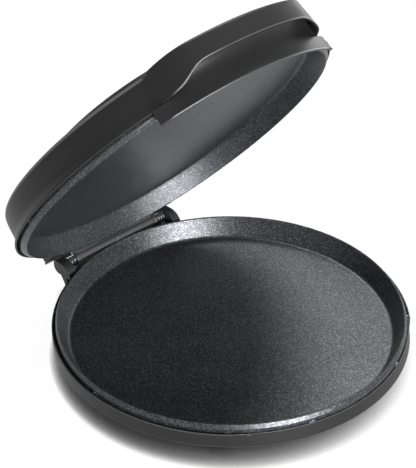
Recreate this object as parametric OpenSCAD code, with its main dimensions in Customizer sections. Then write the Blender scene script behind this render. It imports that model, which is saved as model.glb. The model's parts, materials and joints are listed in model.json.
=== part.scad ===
// Electric pizza maker: a round, shallow countertop cooker with a hinged lid.
// The base stands on four feet; the lid is drawn open, turned about the hinge pin.
// Pieces are laid out about the vertical centre line of the base, the lid's as if it were shut.

/* [Base] */
// Outer diameter of the base housing
base_d = 340; // [330:1:360]
// How far the base plate's rim stands above the top edge of the housing
rim_stand = 6.8; // [6:0.1:7.4]
// Height of the lower edge of the base's upright band
band_low_z = 21.2; // [20:0.1:22]
// Height of the flat underside, which is how far the feet reach
underside_z = 6.2; // [5:0.1:7]
// How far the flat underside lies inside the housing's outline
underside_inset = 27; // [25:0.5:30]
// Wall of the moulded housings
wall = 2.6; // [2:0.1:3]
// Thin top edge of the base housing and lower edge of the lid shell
lip_wall = 1.3; // [1:0.1:1.6]

/* [Cooking plates] */
// How far a plate's wall leans out from its floor to its mouth
plate_wall_lean = 7.9; // [6:0.1:9]
// Width of a plate's rim from its mouth to its skirt
plate_rim_w = 2.6; // [2.2:0.1:3]
// Depth of each plate from rim to floor
plate_depth = 20.2; // [16:0.1:21]
// Thickness of the cast plates
plate_t = 2.4; // [2:0.1:2.6]
// Height of the base plate's cooking floor
base_floor_z = 21.3; // [21.1:0.1:23]
// Gap between the rims of the two plates with the lid shut
rim_gap = 3.1; // [2.6:0.1:3.6]
// Distance of the base plate's skirt inside the housing's outline
base_groove = 3.7; // [3.4:0.1:4]
// Distance of the lid plate's skirt inside the lid's outline
lid_groove = 4.1; // [3.8:0.1:4.6]
// Inner fillet between a plate's floor and its wall
plate_fillet = 4; // [2:0.5:6]

/* [Lid] */
// Angle that the lid is drawn open
lid_open = 52.6; // [20:0.1:68]
// How far the lid's lower edge stands out beyond the base
lid_overhang = 1.9; // [1:0.1:2.6]
// How far the lid's band leans in from its lower edge to its upper edge
lid_band_lean = 7.9; // [5:0.1:10]
// Height of the lid shell's lower edge above the lid plate's rim
lid_edge_rise = 5.9; // [5.6:0.1:6.4]
// Height of the upper edge of the lid's band above the lid plate's cooking floor
lid_room = 18.2; // [17:0.1:22]
// Width of the shelf between the lid's band and its raised middle
shelf_w = 49; // [44:1:60]
// Height of the rim of the raised middle above the band
crown_h = 17; // [12:0.5:20]
// How far the very middle stands above the rim of the raised middle
crown_rise = 3; // [1:0.5:6]

/* [Handle] */
// How far the handle's front stands out beyond the lid's lower edge
brow_out = 18.6; // [14:0.1:22]
// Half angle over which the handle's front is full
brow_full_a = 18.5; // [16:0.5:20]
// Height of the handle's lower edge over the finger recess, above the lid's lower edge
brow_low_h = 11.5; // [8:0.5:14]
// Height of the handle's lower edge at its ends, above the lid's lower edge
brow_end_h = 1.5; // [1.2:0.1:3]
// Half length of the finger recess where its edge starts to fall
recess_half_w = 50; // [44:1:52]
// Width over which the edge falls from full height to the ends
recess_fall_w = 32; // [28:1:34]
// Depth of the finger recess behind the handle's lower edge
recess_depth = 8; // [6:0.5:10]
// Half angle covered by the grip's lip
grip_half_a = 35.3; // [35:0.1:38]
// How far the grip's lip hangs below the lid's lower edge
grip_drop = 13.3; // [12:0.1:14]
// How far the grip's wall stands out beyond the lid's lower edge
grip_out = 2.1; // [1.9:0.1:3]
// Thickness of the grip's wall
grip_wall = 1.7; // [1.2:0.1:1.7]

/* [Hinge] */
// Distance of the hinge pin inside the back of the base's outline
hinge_inset = 0.5; // [-0.5:0.1:0.7]
// How far the hinge pin lies below the base plate's rim
hinge_drop = 0.7; // [0.4:0.1:0.9]
// Diameter of the hinge pin
pin_d = 4; // [3:0.1:4.4]
// Outer diameter of the hinge barrels
barrel_d = 8; // [7.2:0.1:8.2]
// Half length of the pair of barrels
barrel_end_x = 51.5; // [48:0.5:52]
// Inner face of each hinge bracket
bracket_in_x = 64.5; // [63:0.5:66]
// Thickness of each hinge bracket's cheek
cheek_t = 9.5; // [7:0.5:11]
// Radius of the bracket's knuckle behind the pin
knuckle_r = 8; // [7:0.1:8.2]
// Height of the cheek above the pin
cheek_rise = 5.9; // [5.5:0.1:7]
// Wire of the hinge springs
spring_wire = 1.7; // [1.2:0.1:1.8]
// Full turns in each hinge spring
spring_turns = 3; // [2:1:4]

/* [Fittings] */
// Diameter of each rubber foot
foot_d = 12; // [10:0.5:14]
// Distance of the feet's centres inside the edge of the flat underside
foot_inset = 9; // [8:0.5:16]
// Diameter of the heating element's tube
element_d = 6.6; // [5.5:0.1:7]
// Distance of the heating element's loop inside the edge of the cooking floor
element_inset = 55.8; // [50:0.2:70]
// Distance of the plate posts inside the edge of the cooking floor
post_inset = 35.8; // [32:0.2:40]
// Diameter of a plate post
post_d = 11; // [9:0.5:12]
// Diameter of the plate screws
screw_d = 4; // [3:0.1:4.5]
// Bore of the cord's gland in the back wall
gland_bore = 7; // [6:0.1:8]

/* [Hidden] */
$fn = 96;

// Clearances
running = 0.05;      // radial gap of the barrels on the pin
snug = 0.02;         // radial gap of the pin in its brackets and of screws in their holes
seat = 0.2;          // gap left under pieces that rest in place
big = 400;           // longer than anything that is cut

// Base housing
base_r = base_d / 2;
underside_r = base_r - underside_inset;
foot_r = underside_r - foot_inset;
band_lean = 0.2;                          // how far the band leans in at its lower edge
base_rim_z = base_floor_z + plate_depth;
base_top_z = base_rim_z - rim_stand;
ledge_z = base_rim_z - 12.2;              // ledge that carries the base plate's skirt
ledge_t = 2;
base_skirt_r = base_r - base_groove;
ledge_in_r = base_skirt_r - 6;
floor_in_z = underside_z + wall;
boss_top_z = floor_in_z + 1.6;
hinge_y = base_r - hinge_inset;
hinge_z = base_rim_z - hinge_drop;
rear_y = hinge_y + 5.5;                   // flat back wall between the hinge brackets
rear_half_w = bracket_in_x - 0.5;
rear_top_z = base_top_z - 1.2;
rear_low_z = band_low_z - 5.2;
rear_round = 5;

// Plates
rim_r = base_skirt_r - plate_rim_w;
floor_r = rim_r - plate_wall_lean;
element_r = floor_r - element_inset;
post_r = floor_r - post_inset;
skirt_drop = 3.9;                         // rim to the skirt's shoulder
skirt_t = 1.8;
lid_rim_z = base_rim_z + rim_gap;
lid_ledge_z = lid_rim_z + 9;              // ledge in the lid that the lid plate's skirt meets
lid_floor_z = lid_rim_z + plate_depth;
element_gap = 0.1;
reflector_t = 0.6;
base_reflector_z = boss_top_z;            // underside of the base reflector
lid_reflector_z = lid_floor_z + plate_t + element_d + 2.2;
post_angles = [0, 90, 180, 270];
clamp_angles = [0, 120, 240];
clamp_w = 10;
clamp_t = 1;

// Lid
lid_r = base_r + lid_overhang;
lid_skirt_r = lid_r - lid_groove;
band_top_r = lid_r - lid_band_lean;
lid_low_z = lid_rim_z + lid_edge_rise;
lid_band_z = lid_floor_z + lid_room;
crown_z = lid_band_z + crown_h;
brow_r = lid_r + brow_out;
brow_low_z = lid_low_z + brow_low_h;
brow_end_z = lid_low_z + brow_end_h;
recess_top_z = brow_low_z + recess_depth;
grip_low_z = lid_low_z - grip_drop;
grip_r = lid_r + grip_out;
band_round = 4;
crown_r = band_top_r - shelf_w;
crown_round = 6;
shelf_rise = 3;                           // rise of the lid between its band and raised middle
brow_fall = 0.12;                         // millimetres the handle's front falls in per squared degree
brow_reach_a = 36;                        // half angle at which the handle is well inside the band
brow_top_scale = 0.984;                   // the handle's plan at its top, against its lower edge
boss_half_w = 84;                         // rear hinge housing of the lid
boss_y = hinge_y + 2.2;
boss_z = lid_band_z - 7;
boss_round = 8;
boss_floor_z = lid_ledge_z + 0.5;         // inside of the floor that the barrels hang from
spring_guard_t = 2.6;
spring_guard_z = hinge_z + 5.1;           // lower edge of the guards behind the springs

// Hinge
pin_r = pin_d / 2;
barrel_r = barrel_d / 2;
collar_r = barrel_r + 0.9;
collar_w = 3;
ring_half_w = 1;
washer_t = 1.2;
washer_gap = 0.15;
bracket_foot_t = 2.4;
bracket_foot_w = 11;
cheek_out_x = bracket_in_x + cheek_t;
pin_half = bracket_in_x + 5;
web_t = 5;
flange_t = 2.6;
flange_z = lid_low_z;                     // the barrels' flanges lie against the lid's boss
bracket_screw_x = bracket_in_x - 5.5;
bracket_screw_y = hinge_y - 7.3;

frame_back_y = hinge_y + (band_top_r - band_round + 0.6 - hinge_y) * cos(lid_open)
    + (lid_band_z - band_round - hinge_z) * sin(lid_open) + band_round;
frame_y = -(frame_back_y - base_r) / 2;   // brings the whole part's middle to y = 0

// ---- Placing -------------------------------------------------------------------------

// Base pieces stay as drawn, apart from centring the whole part front to back.
module on_base() { translate([0, frame_y, 0]) children(); }

// Lid pieces are drawn shut, then turned open about the hinge pin.
module on_lid() {
    on_base()
        translate([0, hinge_y, hinge_z])
            rotate([-lid_open, 0, 0])
                translate([0, -hinge_y, -hinge_z]) children();
}

// Copies at a list of angles, counted from the front towards +X.
module around(angles) { for (a = angles) rotate([0, 0, a]) children(); }

module both_sides() { children(); mirror([1, 0, 0]) children(); }

// Points of an arc, for outlines.
function arc(cx, cy, r, from, to, n = 8) =
    [for (i = [0:n]) [cx + r * cos(from + (to - from) * i / n), cy + r * sin(from + (to - from) * i / n)]];

// Smooth step from 0 to 1.
function ease(t) = let (u = min(1, max(0, t))) u * u * (3 - 2 * u);

// ---- Cooking plates --------------------------------------------------------------------

// Profile of a plate with its mouth at z = 0 and its floor at -plate_depth.
module plate_profile(skirt_r, skirt_h) {
    foot_r_in = floor_r - plate_fillet;
    polygon(concat(
        [[0, -plate_depth]],
        arc(foot_r_in, -plate_depth + plate_fillet, plate_fillet, -90, -12, 6),
        [[rim_r - 0.8, -0.6], [rim_r, 0], [rim_r + 0.6, -0.1],
         [skirt_r - 0.3, -skirt_drop + 0.6], [skirt_r, -skirt_drop],
         [skirt_r, -skirt_h], [skirt_r - skirt_t, -skirt_h],
         [skirt_r - skirt_t, -skirt_drop - 1.2], [rim_r + 0.2, -3.4],
         [floor_r + plate_t - 0.4, -plate_depth + plate_fillet]],
        arc(foot_r_in, -plate_depth + plate_fillet, plate_fillet + plate_t, -12, -90, 6),
        [[0, -plate_depth - plate_t]]
    ));
}

module plate_blank(skirt_r, skirt_h, post_h) {
    difference() {
        union() {
            rotate_extrude() plate_profile(skirt_r, skirt_h);
            around(post_angles)
                translate([0, -post_r, -plate_depth - post_h])
                    cylinder(d = post_d, h = post_h - plate_t / 2);
        }
        around(post_angles)
            translate([0, -post_r, -plate_depth - post_h - 1])
                cylinder(d = screw_d + 2 * snug, h = post_h - plate_t + 0.4);
    }
}

module base_plate() {
    color("#4a4b4d") on_base()
        translate([0, 0, base_rim_z])
            plate_blank(base_skirt_r, base_rim_z - ledge_z - seat,
                base_floor_z - base_reflector_z - reflector_t);
}

module lid_plate() {
    color("#4a4b4d") on_lid()
        translate([0, 0, lid_rim_z]) mirror([0, 0, 1])
            plate_blank(lid_skirt_r, lid_ledge_z - lid_rim_z - seat,
                lid_reflector_z - lid_floor_z);
}

// A spring clip pushed between a plate's skirt and its housing: a strap whose narrow tongue
// ends in a nose that shows in the groove.
clip_w = 6;
clip_t = 0.6;
clip_shoulder = 2.8;     // from the skirt's shoulder to the top of the strap
clip_nose_w = 1.2;
clip_nose_h = 1.2;
clip_nose_out = 0.8;
base_clip_angles = [-90, -45, -19.5, 19.5, 45, 90, 135, -135];
lid_clip_angles = [-90, -45, 45, 90, 135, -135];

module clip(skirt_r, skirt_h) {
    back_y = -skirt_r - clip_t - 0.1;
    nose_z = -skirt_drop - 2;
    translate([-clip_w / 2, back_y, -skirt_h + 0.3])
        cube([clip_w, clip_t, skirt_h - 0.3 - skirt_drop - clip_shoulder]);
    translate([-clip_nose_w / 2, back_y, -skirt_drop - clip_shoulder - 1])
        cube([clip_nose_w, clip_t, nose_z + clip_nose_h + skirt_drop + clip_shoulder + 1]);
    translate([-clip_nose_w / 2, back_y - clip_nose_out + 0.1, nose_z])
        cube([clip_nose_w, clip_nose_out, clip_nose_h]);
}

module base_plate_clips() {
    color("#b9babd") on_base() translate([0, 0, base_rim_z])
        around(base_clip_angles) clip(base_skirt_r, base_rim_z - ledge_z);
}

module lid_plate_clips() {
    color("#b9babd") on_lid() translate([0, 0, lid_rim_z]) mirror([0, 0, 1])
        around(lid_clip_angles) clip(lid_skirt_r, lid_ledge_z - lid_rim_z);
}

// ---- Heating elements ------------------------------------------------------------------

strap_gap = 0.2;
element_bend_r = 14;
element_gap_a = 16;      // half angle between the two ends of the loop, at the back
element_lap_a = 0.4;     // how far the loop runs on over each bend
element_lap = 0.5;       // and each tail
element_neck = 0.2;      // how much thinner the tube is where it is bent
element_tail = 18;
terminal_d = 3;
terminal_h = 8;

// A loop of tube lying in the plane z = 0, its ends turned out towards the back.
module element() {
    loop = 360 - 2 * element_gap_a + 2 * element_lap_a;
    rotate([0, 0, 90 + element_gap_a - element_lap_a])
        rotate_extrude(angle = loop) translate([element_r, 0]) circle(d = element_d, $fn = 32);
    both_sides() rotate([0, 0, -element_gap_a]) {
        translate([0, element_r + element_bend_r, 0])
            rotate([0, 0, -90]) rotate_extrude(angle = -90)
                translate([element_bend_r, 0]) circle(d = element_d - element_neck, $fn = 32);
        translate([-element_bend_r, element_r + element_bend_r - element_lap, 0]) rotate([-90, 0, 0]) {
            cylinder(d = element_d, h = element_lap + element_tail, $fn = 32);
            cylinder(d = terminal_d, h = element_lap + element_tail + terminal_h, $fn = 32);
        }
    }
}

module base_heating_element() {
    color("#5c5f5e") on_base()
        translate([0, 0, base_floor_z - plate_t - element_gap - element_d / 2]) element();
}

module lid_heating_element() {
    color("#5c5f5e") on_lid()
        translate([0, 0, lid_floor_z + plate_t + element_gap + element_d / 2]) element();
}

// A bent strap over the tube, its feet against the plate at z = 0, drawn below it.
module element_clamp() {
    tube_r = element_d / 2;
    in_r = tube_r + strap_gap;
    out_r = in_r + clamp_t;
    drop = element_gap + tube_r;
    translate([-clamp_w / 2, -element_r, 0]) rotate([90, 0, 90])
        linear_extrude(height = clamp_w) difference() {
            union() {
                translate([0, -drop]) circle(r = out_r, $fn = 48);
                translate([-out_r, -drop]) square([2 * out_r, drop - 0.1]);
                translate([-out_r - 6, -0.1 - clamp_t]) square([2 * out_r + 12, clamp_t]);
            }
            translate([0, -drop]) circle(r = in_r, $fn = 48);
            translate([-in_r, -drop]) square([2 * in_r, out_r + 1]);
        }
    for (side = [-1, 1])
        translate([0, -element_r + side * (out_r + 3.2), -0.1 - clamp_t - 1.4])
            cylinder(d = 4.6, h = 1.6, $fn = 32);
}

module base_element_clamps() {
    color("#a8a9ab") on_base() translate([0, 0, base_floor_z - plate_t])
        around(clamp_angles) element_clamp();
}

module lid_element_clamps() {
    color("#a8a9ab") on_lid() translate([0, 0, lid_floor_z + plate_t]) mirror([0, 0, 1])
        around(clamp_angles) element_clamp();
}

// ---- Reflectors and screws ---------------------------------------------------------------

reflector_r = floor_r - 9.8;
reflector_rim = 3;

// A pressed dish, its underside at z = 0 and its rim turned up, with holes for the plate screws.
module reflector() {
    difference() {
        rotate_extrude() polygon([
            [0, 0], [reflector_r - 2, 0], [reflector_r + 1, reflector_rim],
            [reflector_r + 1 + reflector_t, reflector_rim],
            [reflector_r + 1 + reflector_t, reflector_rim + reflector_t],
            [reflector_r + 0.6, reflector_rim + reflector_t],
            [reflector_r - 2.4, reflector_t], [0, reflector_t]
        ]);
        around(post_angles) translate([0, -post_r, -1]) cylinder(d = screw_d + 0.6, h = 3);
    }
}

module base_reflector() {
    color("#c4c5c7") on_base() translate([0, 0, base_reflector_z]) reflector();
}

module lid_reflector() {
    color("#c4c5c7") on_lid()
        translate([0, 0, lid_reflector_z + reflector_t]) mirror([0, 0, 1]) reflector();
}

// A pan-head screw, head underside at z = 0 and shank up +Z.
module screw(d, len, head_d, head_h) {
    cylinder(d = d, h = len, $fn = 48);
    translate([0, 0, -head_h]) difference() {
        cylinder(d = head_d, h = head_h, $fn = 48);
        translate([-head_d / 4, -0.5, -1]) cube([head_d / 2, 1, 1.8]);
        translate([-0.5, -head_d / 4, -1]) cube([1, head_d / 2, 1.8]);
    }
}

plate_screw_head_d = 7.6;
plate_screw_head_h = 2.4;

module base_plate_screws() {
    color("#8f9093") on_base() around(post_angles)
        translate([0, -post_r, underside_z + wall / 2])
            screw(screw_d, base_floor_z - plate_t - 1 - underside_z - wall / 2,
                plate_screw_head_d, wall / 2);
}

module lid_reflector_screws() {
    color("#8f9093") on_lid() around(post_angles)
        translate([0, -post_r, lid_reflector_z + reflector_t]) mirror([0, 0, 1])
            screw(screw_d, 8, plate_screw_head_d, plate_screw_head_h);
}

// ---- Base housing ------------------------------------------------------------------------

// Outside of the housing: a nearly upright band, then a bowl that turns in to the underside.
module housing_outer_profile() {
    low_r = base_r - band_lean;
    flat_r = underside_r;
    polygon([
        [0, underside_z], [flat_r, underside_z], [flat_r + 5, underside_z + 1.4],
        [low_r - 12, band_low_z - 6.4], [low_r - 4.5, band_low_z - 1.8],
        [low_r - 1, band_low_z - 0.7], [low_r, band_low_z],
        [base_r, base_top_z - 0.7], [base_r - 0.4, base_top_z], [0, base_top_z]
    ]);
}

module housing_inner_profile() {
    low_r = base_r - band_lean;
    flat_r = underside_r;
    polygon([
        [0, floor_in_z], [flat_r - 0.8, floor_in_z], [flat_r + 3.8, floor_in_z + 1.3],
        [low_r - 13.4, band_low_z - 4.2], [low_r - 6, band_low_z + 0.6],
        [low_r - wall, band_low_z + 3], [low_r - wall, ledge_z - 1],
        [base_r - lip_wall - 0.6, ledge_z], [base_r - lip_wall, base_top_z + 1],
        [0, base_top_z + 1]
    ]);
}

// The flat-backed block behind the plate that carries the hinge brackets and the wiring.
module rear_block(inset) {
    half = rear_half_w - inset;
    round_r = rear_round - inset;
    depth = 30;
    translate([0, 0, rear_low_z + inset])
        linear_extrude(height = rear_top_z - rear_low_z - 2 * inset) {
            translate([-half, rear_y - depth]) square([2 * half, depth - inset - round_r]);
            translate([-half + round_r, rear_y - depth])
                square([2 * (half - round_r), depth - inset]);
            for (side = [-1, 1])
                translate([side * (half - round_r), rear_y - inset - round_r]) circle(r = round_r);
        }
}

front_a = 45;            // half angle over which the band leans in, under the grip
front_full_a = 38;       // half angle over which it leans in fully
front_lip_r = base_skirt_r + 0.8;
front_lip_w = 0.6;
front_lip_z = base_top_z - 0.8;
front_top_r = front_lip_r + front_lip_w;
// An off-centre round that passes through the band at front_a and the lip at front_full_a
front_side_y = (base_r * base_r - front_top_r * front_top_r)
    / (2 * (front_top_r * cos(front_full_a) - base_r * cos(front_a)));
front_side_r = sqrt(base_r * base_r + front_side_y * front_side_y
    + 2 * base_r * front_side_y * cos(front_a));

// What is cut from the band at the front: all outside a leaning face, which ends at both sides
// where the off-centre round takes over.
module front_cut() {
    low_z = band_low_z + 0.6;
    difference() {
        translate([0, 0, low_z]) difference() {
            cylinder(r = base_r + 5, h = base_top_z + 2 - low_z);
            translate([0, 0, -1]) cylinder(r = front_lip_r - 0.5, h = base_top_z + 4 - low_z);
        }
        translate([0, 0, low_z - 1])
            cylinder(r1 = base_r + (base_r - front_top_r) / (front_lip_z - low_z),
                r2 = front_top_r, h = front_lip_z - low_z + 1);
        translate([0, front_side_y, low_z - 1]) cylinder(r = front_side_r, h = base_top_z + 4 - low_z);
    }
}

rib_angles = [15, 45, 75, 105, 135, 225, 255, 285, 315, 345];

module housing_screw_holes() {
    around(post_angles) translate([0, -post_r, 0]) {
        cylinder(d = screw_d + 0.6, h = floor_in_z + 5);
        cylinder(d = plate_screw_head_d + 0.4, h = underside_z + wall / 2);
    }
}

module base_housing() {
    color("#3b3b3d") on_base() difference() {
        union() {
            difference() {
                union() {
                    rotate_extrude() housing_outer_profile();
                    rear_block(0);
                }
                rotate_extrude() housing_inner_profile();
                difference() {
                    rear_block(wall);
                    cylinder(r = ledge_in_r, h = big);
                }
            }
            // ledge that the plate's skirt stands on
            difference() {
                translate([0, 0, ledge_z - ledge_t])
                    cylinder(r = base_r - wall / 2, h = ledge_t);
                translate([0, 0, ledge_z - ledge_t - 1]) cylinder(r = ledge_in_r, h = ledge_t + 2);
            }
            rotate([0, 0, -90 - front_a]) rotate_extrude(angle = 2 * front_a)
                translate([front_lip_r, ledge_z - 0.5])
                    square([base_r - 1 - front_lip_r, front_lip_z - ledge_z + 0.5]);
            // ribs that stiffen the ledge from below
            intersection() {
                for (a = rib_angles) rotate([0, 0, a])
                    translate([-0.9, -base_r + wall, band_low_z - 7])
                        cube([1.8, base_r - wall - ledge_in_r - 0.5, ledge_z - ledge_t / 2 - band_low_z + 7]);
                rotate_extrude() housing_outer_profile();
            }
            around(post_angles) translate([0, -post_r, underside_z + 1])
                cylinder(d = post_d + 2, h = boss_top_z - underside_z - 1);
            // stiffening rings on the floor
            for (r = [60, 90]) difference() {
                translate([0, 0, floor_in_z - 1]) cylinder(r = r + 0.9, h = 2);
                translate([0, 0, floor_in_z - 2]) cylinder(r = r - 0.9, h = 4);
            }
        }
        housing_screw_holes();
        front_cut();
        // seats for the feet's plugs
        around([45, 135, 225, 315]) translate([0, -foot_r, 0])
            cylinder(d = foot_plug_d + 2 * snug, h = floor_in_z + 1);
        // hole for the cord's gland
        translate([gland_x, rear_y - wall - 1, gland_z]) rotate([-90, 0, 0])
            cylinder(d = gland_neck_d + 2 * snug, h = wall + 2);
        // screw holes under the hinge brackets
        for (side = [-1, 1])
            translate([side * bracket_screw_x, bracket_screw_y, rear_top_z - wall - 1])
                cylinder(d = small_screw_d + 2 * snug, h = wall + 2, $fn = 32);
        // cooling slots in the underside
        for (a = [15:30:345]) rotate([0, 0, a]) translate([-1.5, -82, 0]) cube([3, 14, floor_in_z + 1]);
    }
}

small_screw_d = 3;
small_head_d = 5;
small_head_h = 1.6;

foot_plug_d = 6;
foot_round = 1.2;

module feet() {
    r = foot_d / 2;
    color("#202022") on_base() around([45, 135, 225, 315]) translate([0, -foot_r, 0])
        rotate_extrude() polygon([
            [0, 0], [r - foot_round, 0], [r, foot_round], [r, underside_z],
            [foot_plug_d / 2, underside_z], [foot_plug_d / 2, floor_in_z + 0.4],
            [foot_plug_d / 2 - 0.6, floor_in_z + 1.1], [0, floor_in_z + 1.1]
        ]);
}

// ---- Cord's gland and wiring ---------------------------------------------------------------

gland_neck_d = 9.4;
gland_flange_d = 12;
gland_flange_t = 1.6;
gland_x = 32;
gland_z = (rear_low_z + rear_top_z) / 2;

module cord_gland() {
    color("#1d1d1f") on_base() translate([gland_x, rear_y, gland_z]) rotate([-90, 0, 0]) difference() {
        union() {
            cylinder(d = gland_flange_d, h = gland_flange_t);
            translate([0, 0, -wall]) cylinder(d = gland_neck_d, h = wall + 1);
            translate([0, 0, -wall - 1.6]) cylinder(d = gland_neck_d, h = 1.7);
        }
        translate([0, 0, -wall - 3]) cylinder(d = gland_bore, h = wall + gland_flange_t + 5);
    }
}

block_w = 24;
block_h = 6;
block_depth = 8;
block_y = rear_y - 12;
pole_pitch = 7.5;

module terminal_block() {
    color("#e6e2d6") on_base() translate([0, block_y, rear_low_z + wall]) difference() {
        translate([-block_w / 2, 0, 0]) cube([block_w, block_depth, block_h]);
        for (i = [-1:1]) translate([i * pole_pitch, 0, 0]) {
            translate([0, block_depth / 2, 2]) cylinder(d = 3.4, h = block_h, $fn = 32);
            translate([0, -1, block_h / 2]) rotate([-90, 0, 0])
                cylinder(d = 2.6, h = 3, $fn = 32);
        }
    }
}

thermostat_d = 15;
thermostat_h = 3.6;
thermostat_r = 60;

// A bimetal disc thermostat against the plate at z = 0, drawn below it.
module thermostat() {
    translate([0, 0, -0.1]) mirror([0, 0, 1]) {
        cylinder(d = thermostat_d, h = 2);
        translate([0, 0, 2]) cylinder(d = thermostat_d - 3, h = thermostat_h - 2);
        for (side = [-1, 1]) translate([side * 5 - (side > 0 ? 0 : 5), -1.5, 2])
            cube([5, 3, 0.8]);
    }
}

module base_thermostat() {
    color("#d8d4c8") on_base() translate([0, thermostat_r, base_floor_z - plate_t]) thermostat();
}

module lid_thermostat() {
    color("#d8d4c8") on_lid() translate([0, thermostat_r, lid_floor_z + plate_t])
        mirror([0, 0, 1]) thermostat();
}

// A round tube swept along points, its rings square to the path, which never runs along X.
lead_sides = 8;

function unit(v) = v / norm(v);
function path_dir(p, i) = unit(p[min(i + 1, len(p) - 1)] - p[max(i - 1, 0)]);
function ring_points(p, i, r) =
    let (t = path_dir(p, i), u = unit(cross(t, [1, 0, 0])), v = cross(t, u))
    [for (k = [0:lead_sides - 1]) p[i] + r * (cos(360 * k / lead_sides) * u + sin(360 * k / lead_sides) * v)];

module swept_tube(p, r) {
    n = len(p);
    m = lead_sides;
    points = [for (i = [0:n - 1]) each ring_points(p, i, r)];
    sides = [for (i = [0:n - 2], k = [0:m - 1]) let (a = i * m + k, b = i * m + (k + 1) % m)
        each [[a, b, b + m], [a, b + m, a + m]]];
    polyhedron(points, concat([[for (k = [m - 1:-1:0]) k]], sides,
        [[for (k = [0:m - 1]) (n - 1) * m + k]]), convexity = 4);
}

// Points along a smooth curve through the given points.
function smooth(p, n = 5) = concat([for (i = [0:len(p) - 2], j = [0:n - 1])
    let (
        t = j / n,
        a = p[max(i - 1, 0)], b = p[i], c = p[i + 1], d = p[min(i + 2, len(p) - 1)]
    )
    b + 0.5 * t * ((c - a) + t * ((2 * a - 5 * b + 4 * c - d) + t * (3 * b - a - 3 * c + d)))
], [p[len(p) - 1]]);

lead_d = 2;

// Where the right-hand terminal of an element ends, and the way it points.
terminal_reach = element_r + element_bend_r + element_tail + terminal_h;
terminal_at = [
    -element_bend_r * cos(element_gap_a) + terminal_reach * sin(element_gap_a),
    element_bend_r * sin(element_gap_a) + terminal_reach * cos(element_gap_a)
];
terminal_dir = [sin(element_gap_a), cos(element_gap_a)];

// A point on the way from a to b, moved aside by an offset.
function between(a, b, t, aside) = a + t * (b - a) + aside;

module base_leads() {
    z0 = base_floor_z - plate_t - element_gap - element_d / 2;
    z1 = rear_low_z + wall + block_h / 2;
    from = terminal_at + 0.1 * terminal_dir;
    out = terminal_at + 5 * terminal_dir;
    to = [pole_pitch, block_y + 1.2];
    color("#e9e6df") on_base() both_sides() swept_tube(smooth([
        [each from, z0], [each out, z0], [each between(out, to, 0.4, [1, 1]), z0 + 1.4],
        [each between(out, to, 0.72, [-1.8, -1.3]), z0 + 3.8], [to[0], to[1] - 3.7, z1 - 0.3], [each to, z1]
    ]), lead_d / 2);
}

module lid_leads() {
    z0 = lid_floor_z + plate_t + element_gap + element_d / 2;
    from = terminal_at + 0.1 * terminal_dir;
    out = terminal_at + 5 * terminal_dir;
    to = [lead_exit_x, lead_exit_y];
    color("#e9e6df") on_lid() both_sides() swept_tube(smooth([
        [each from, z0], [each out, z0], [each between(out, to, 0.33, [0, 0.8]), z0 - 0.5],
        [each between(out, to, 0.67, [0, 0.5]), z0 - 4], [to[0] - 3, to[1] - 1.2, z0 - 9.5],
        [each to, boss_floor_z + 2], [each to, boss_floor_z - 2.5]
    ]), lead_d / 2);
}

// ---- Hinge ---------------------------------------------------------------------------------

// Side view of a bracket's cheek: a domed front, a round knuckle and a gusset behind the band.
module cheek_profile() {
    front_y = hinge_y - 18;
    dome_y = hinge_y - 3.5;
    top_z = hinge_z + cheek_rise;
    foot_z = rear_top_z;
    intersection() {
        union() {
            polygon(concat(
                [[hinge_y + 3, foot_z], [front_y, foot_z]],
                [for (i = [0:10]) let (a = 180 - 9 * i)
                    [dome_y + (dome_y - front_y) * cos(a), foot_z + (top_z - foot_z) * sin(a)]],
                [[hinge_y + 3, top_z]]
            ));
            translate([hinge_y, hinge_z]) circle(r = knuckle_r);
            polygon([[hinge_y - 6, foot_z + 3], [hinge_y - 12, foot_z], [hinge_y - 12, band_low_z + 1],
                [hinge_y - 8.8, band_low_z + 1], [hinge_y - 7.4, band_low_z + 5],
                [hinge_y - 2.5, hinge_z - knuckle_r + 0.6], [hinge_y + 3, hinge_z - 5]]);
        }
        translate([hinge_y - 40, 0]) square([80, top_z]);
    }
}

// The right-hand bracket: cheek, and a foot that is screwed down beside it.
module hinge_bracket() {
    foot_y = hinge_y - 11.3;
    difference() {
        union() {
            translate([bracket_in_x, 0, 0]) rotate([90, 0, 90])
                linear_extrude(height = cheek_t) cheek_profile();
            translate([bracket_in_x - bracket_foot_w, foot_y, rear_top_z])
                cube([bracket_foot_w + 1, rear_y - foot_y, bracket_foot_t]);
        }
        // clear of the round housing
        translate([0, 0, band_low_z - 1])
            cylinder(r = base_r + seat, h = base_top_z + seat - band_low_z + 1);
        cylinder(r = base_skirt_r + 0.5, h = big);
        // blind bore for the pin
        translate([bracket_in_x - 1, hinge_y, hinge_z]) rotate([0, 90, 0])
            cylinder(r = pin_r + snug, h = pin_half + 0.3 - bracket_in_x + 1);
        translate([bracket_screw_x, bracket_screw_y, rear_top_z - 1])
            cylinder(d = small_screw_d + 2 * snug, h = 6, $fn = 32);
    }
}

module hinge_bracket_right() { color("#2c2c2e") on_base() hinge_bracket(); }
module hinge_bracket_left() { color("#2c2c2e") on_base() mirror([1, 0, 0]) hinge_bracket(); }

module hinge_bracket_screws() {
    color("#9c9ea1") on_base() both_sides()
        translate([bracket_screw_x, bracket_screw_y, rear_top_z + bracket_foot_t])
            mirror([0, 0, 1]) screw(small_screw_d, bracket_foot_t + wall + 2, small_head_d, small_head_h);
}

module hinge_pin() {
    color("#aeb0b3") on_base() translate([-pin_half, hinge_y, hinge_z]) rotate([0, 90, 0])
        cylinder(r = pin_r, h = 2 * pin_half);
}

module hinge_centre_ring() {
    color("#c9cbce") on_base() translate([-ring_half_w + washer_gap, hinge_y, hinge_z])
        rotate([0, 90, 0]) difference() {
            cylinder(r = barrel_r + 0.1, h = 2 * (ring_half_w - washer_gap));
            translate([0, 0, -1]) cylinder(r = pin_r + snug, h = 4);
        }
}

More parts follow.
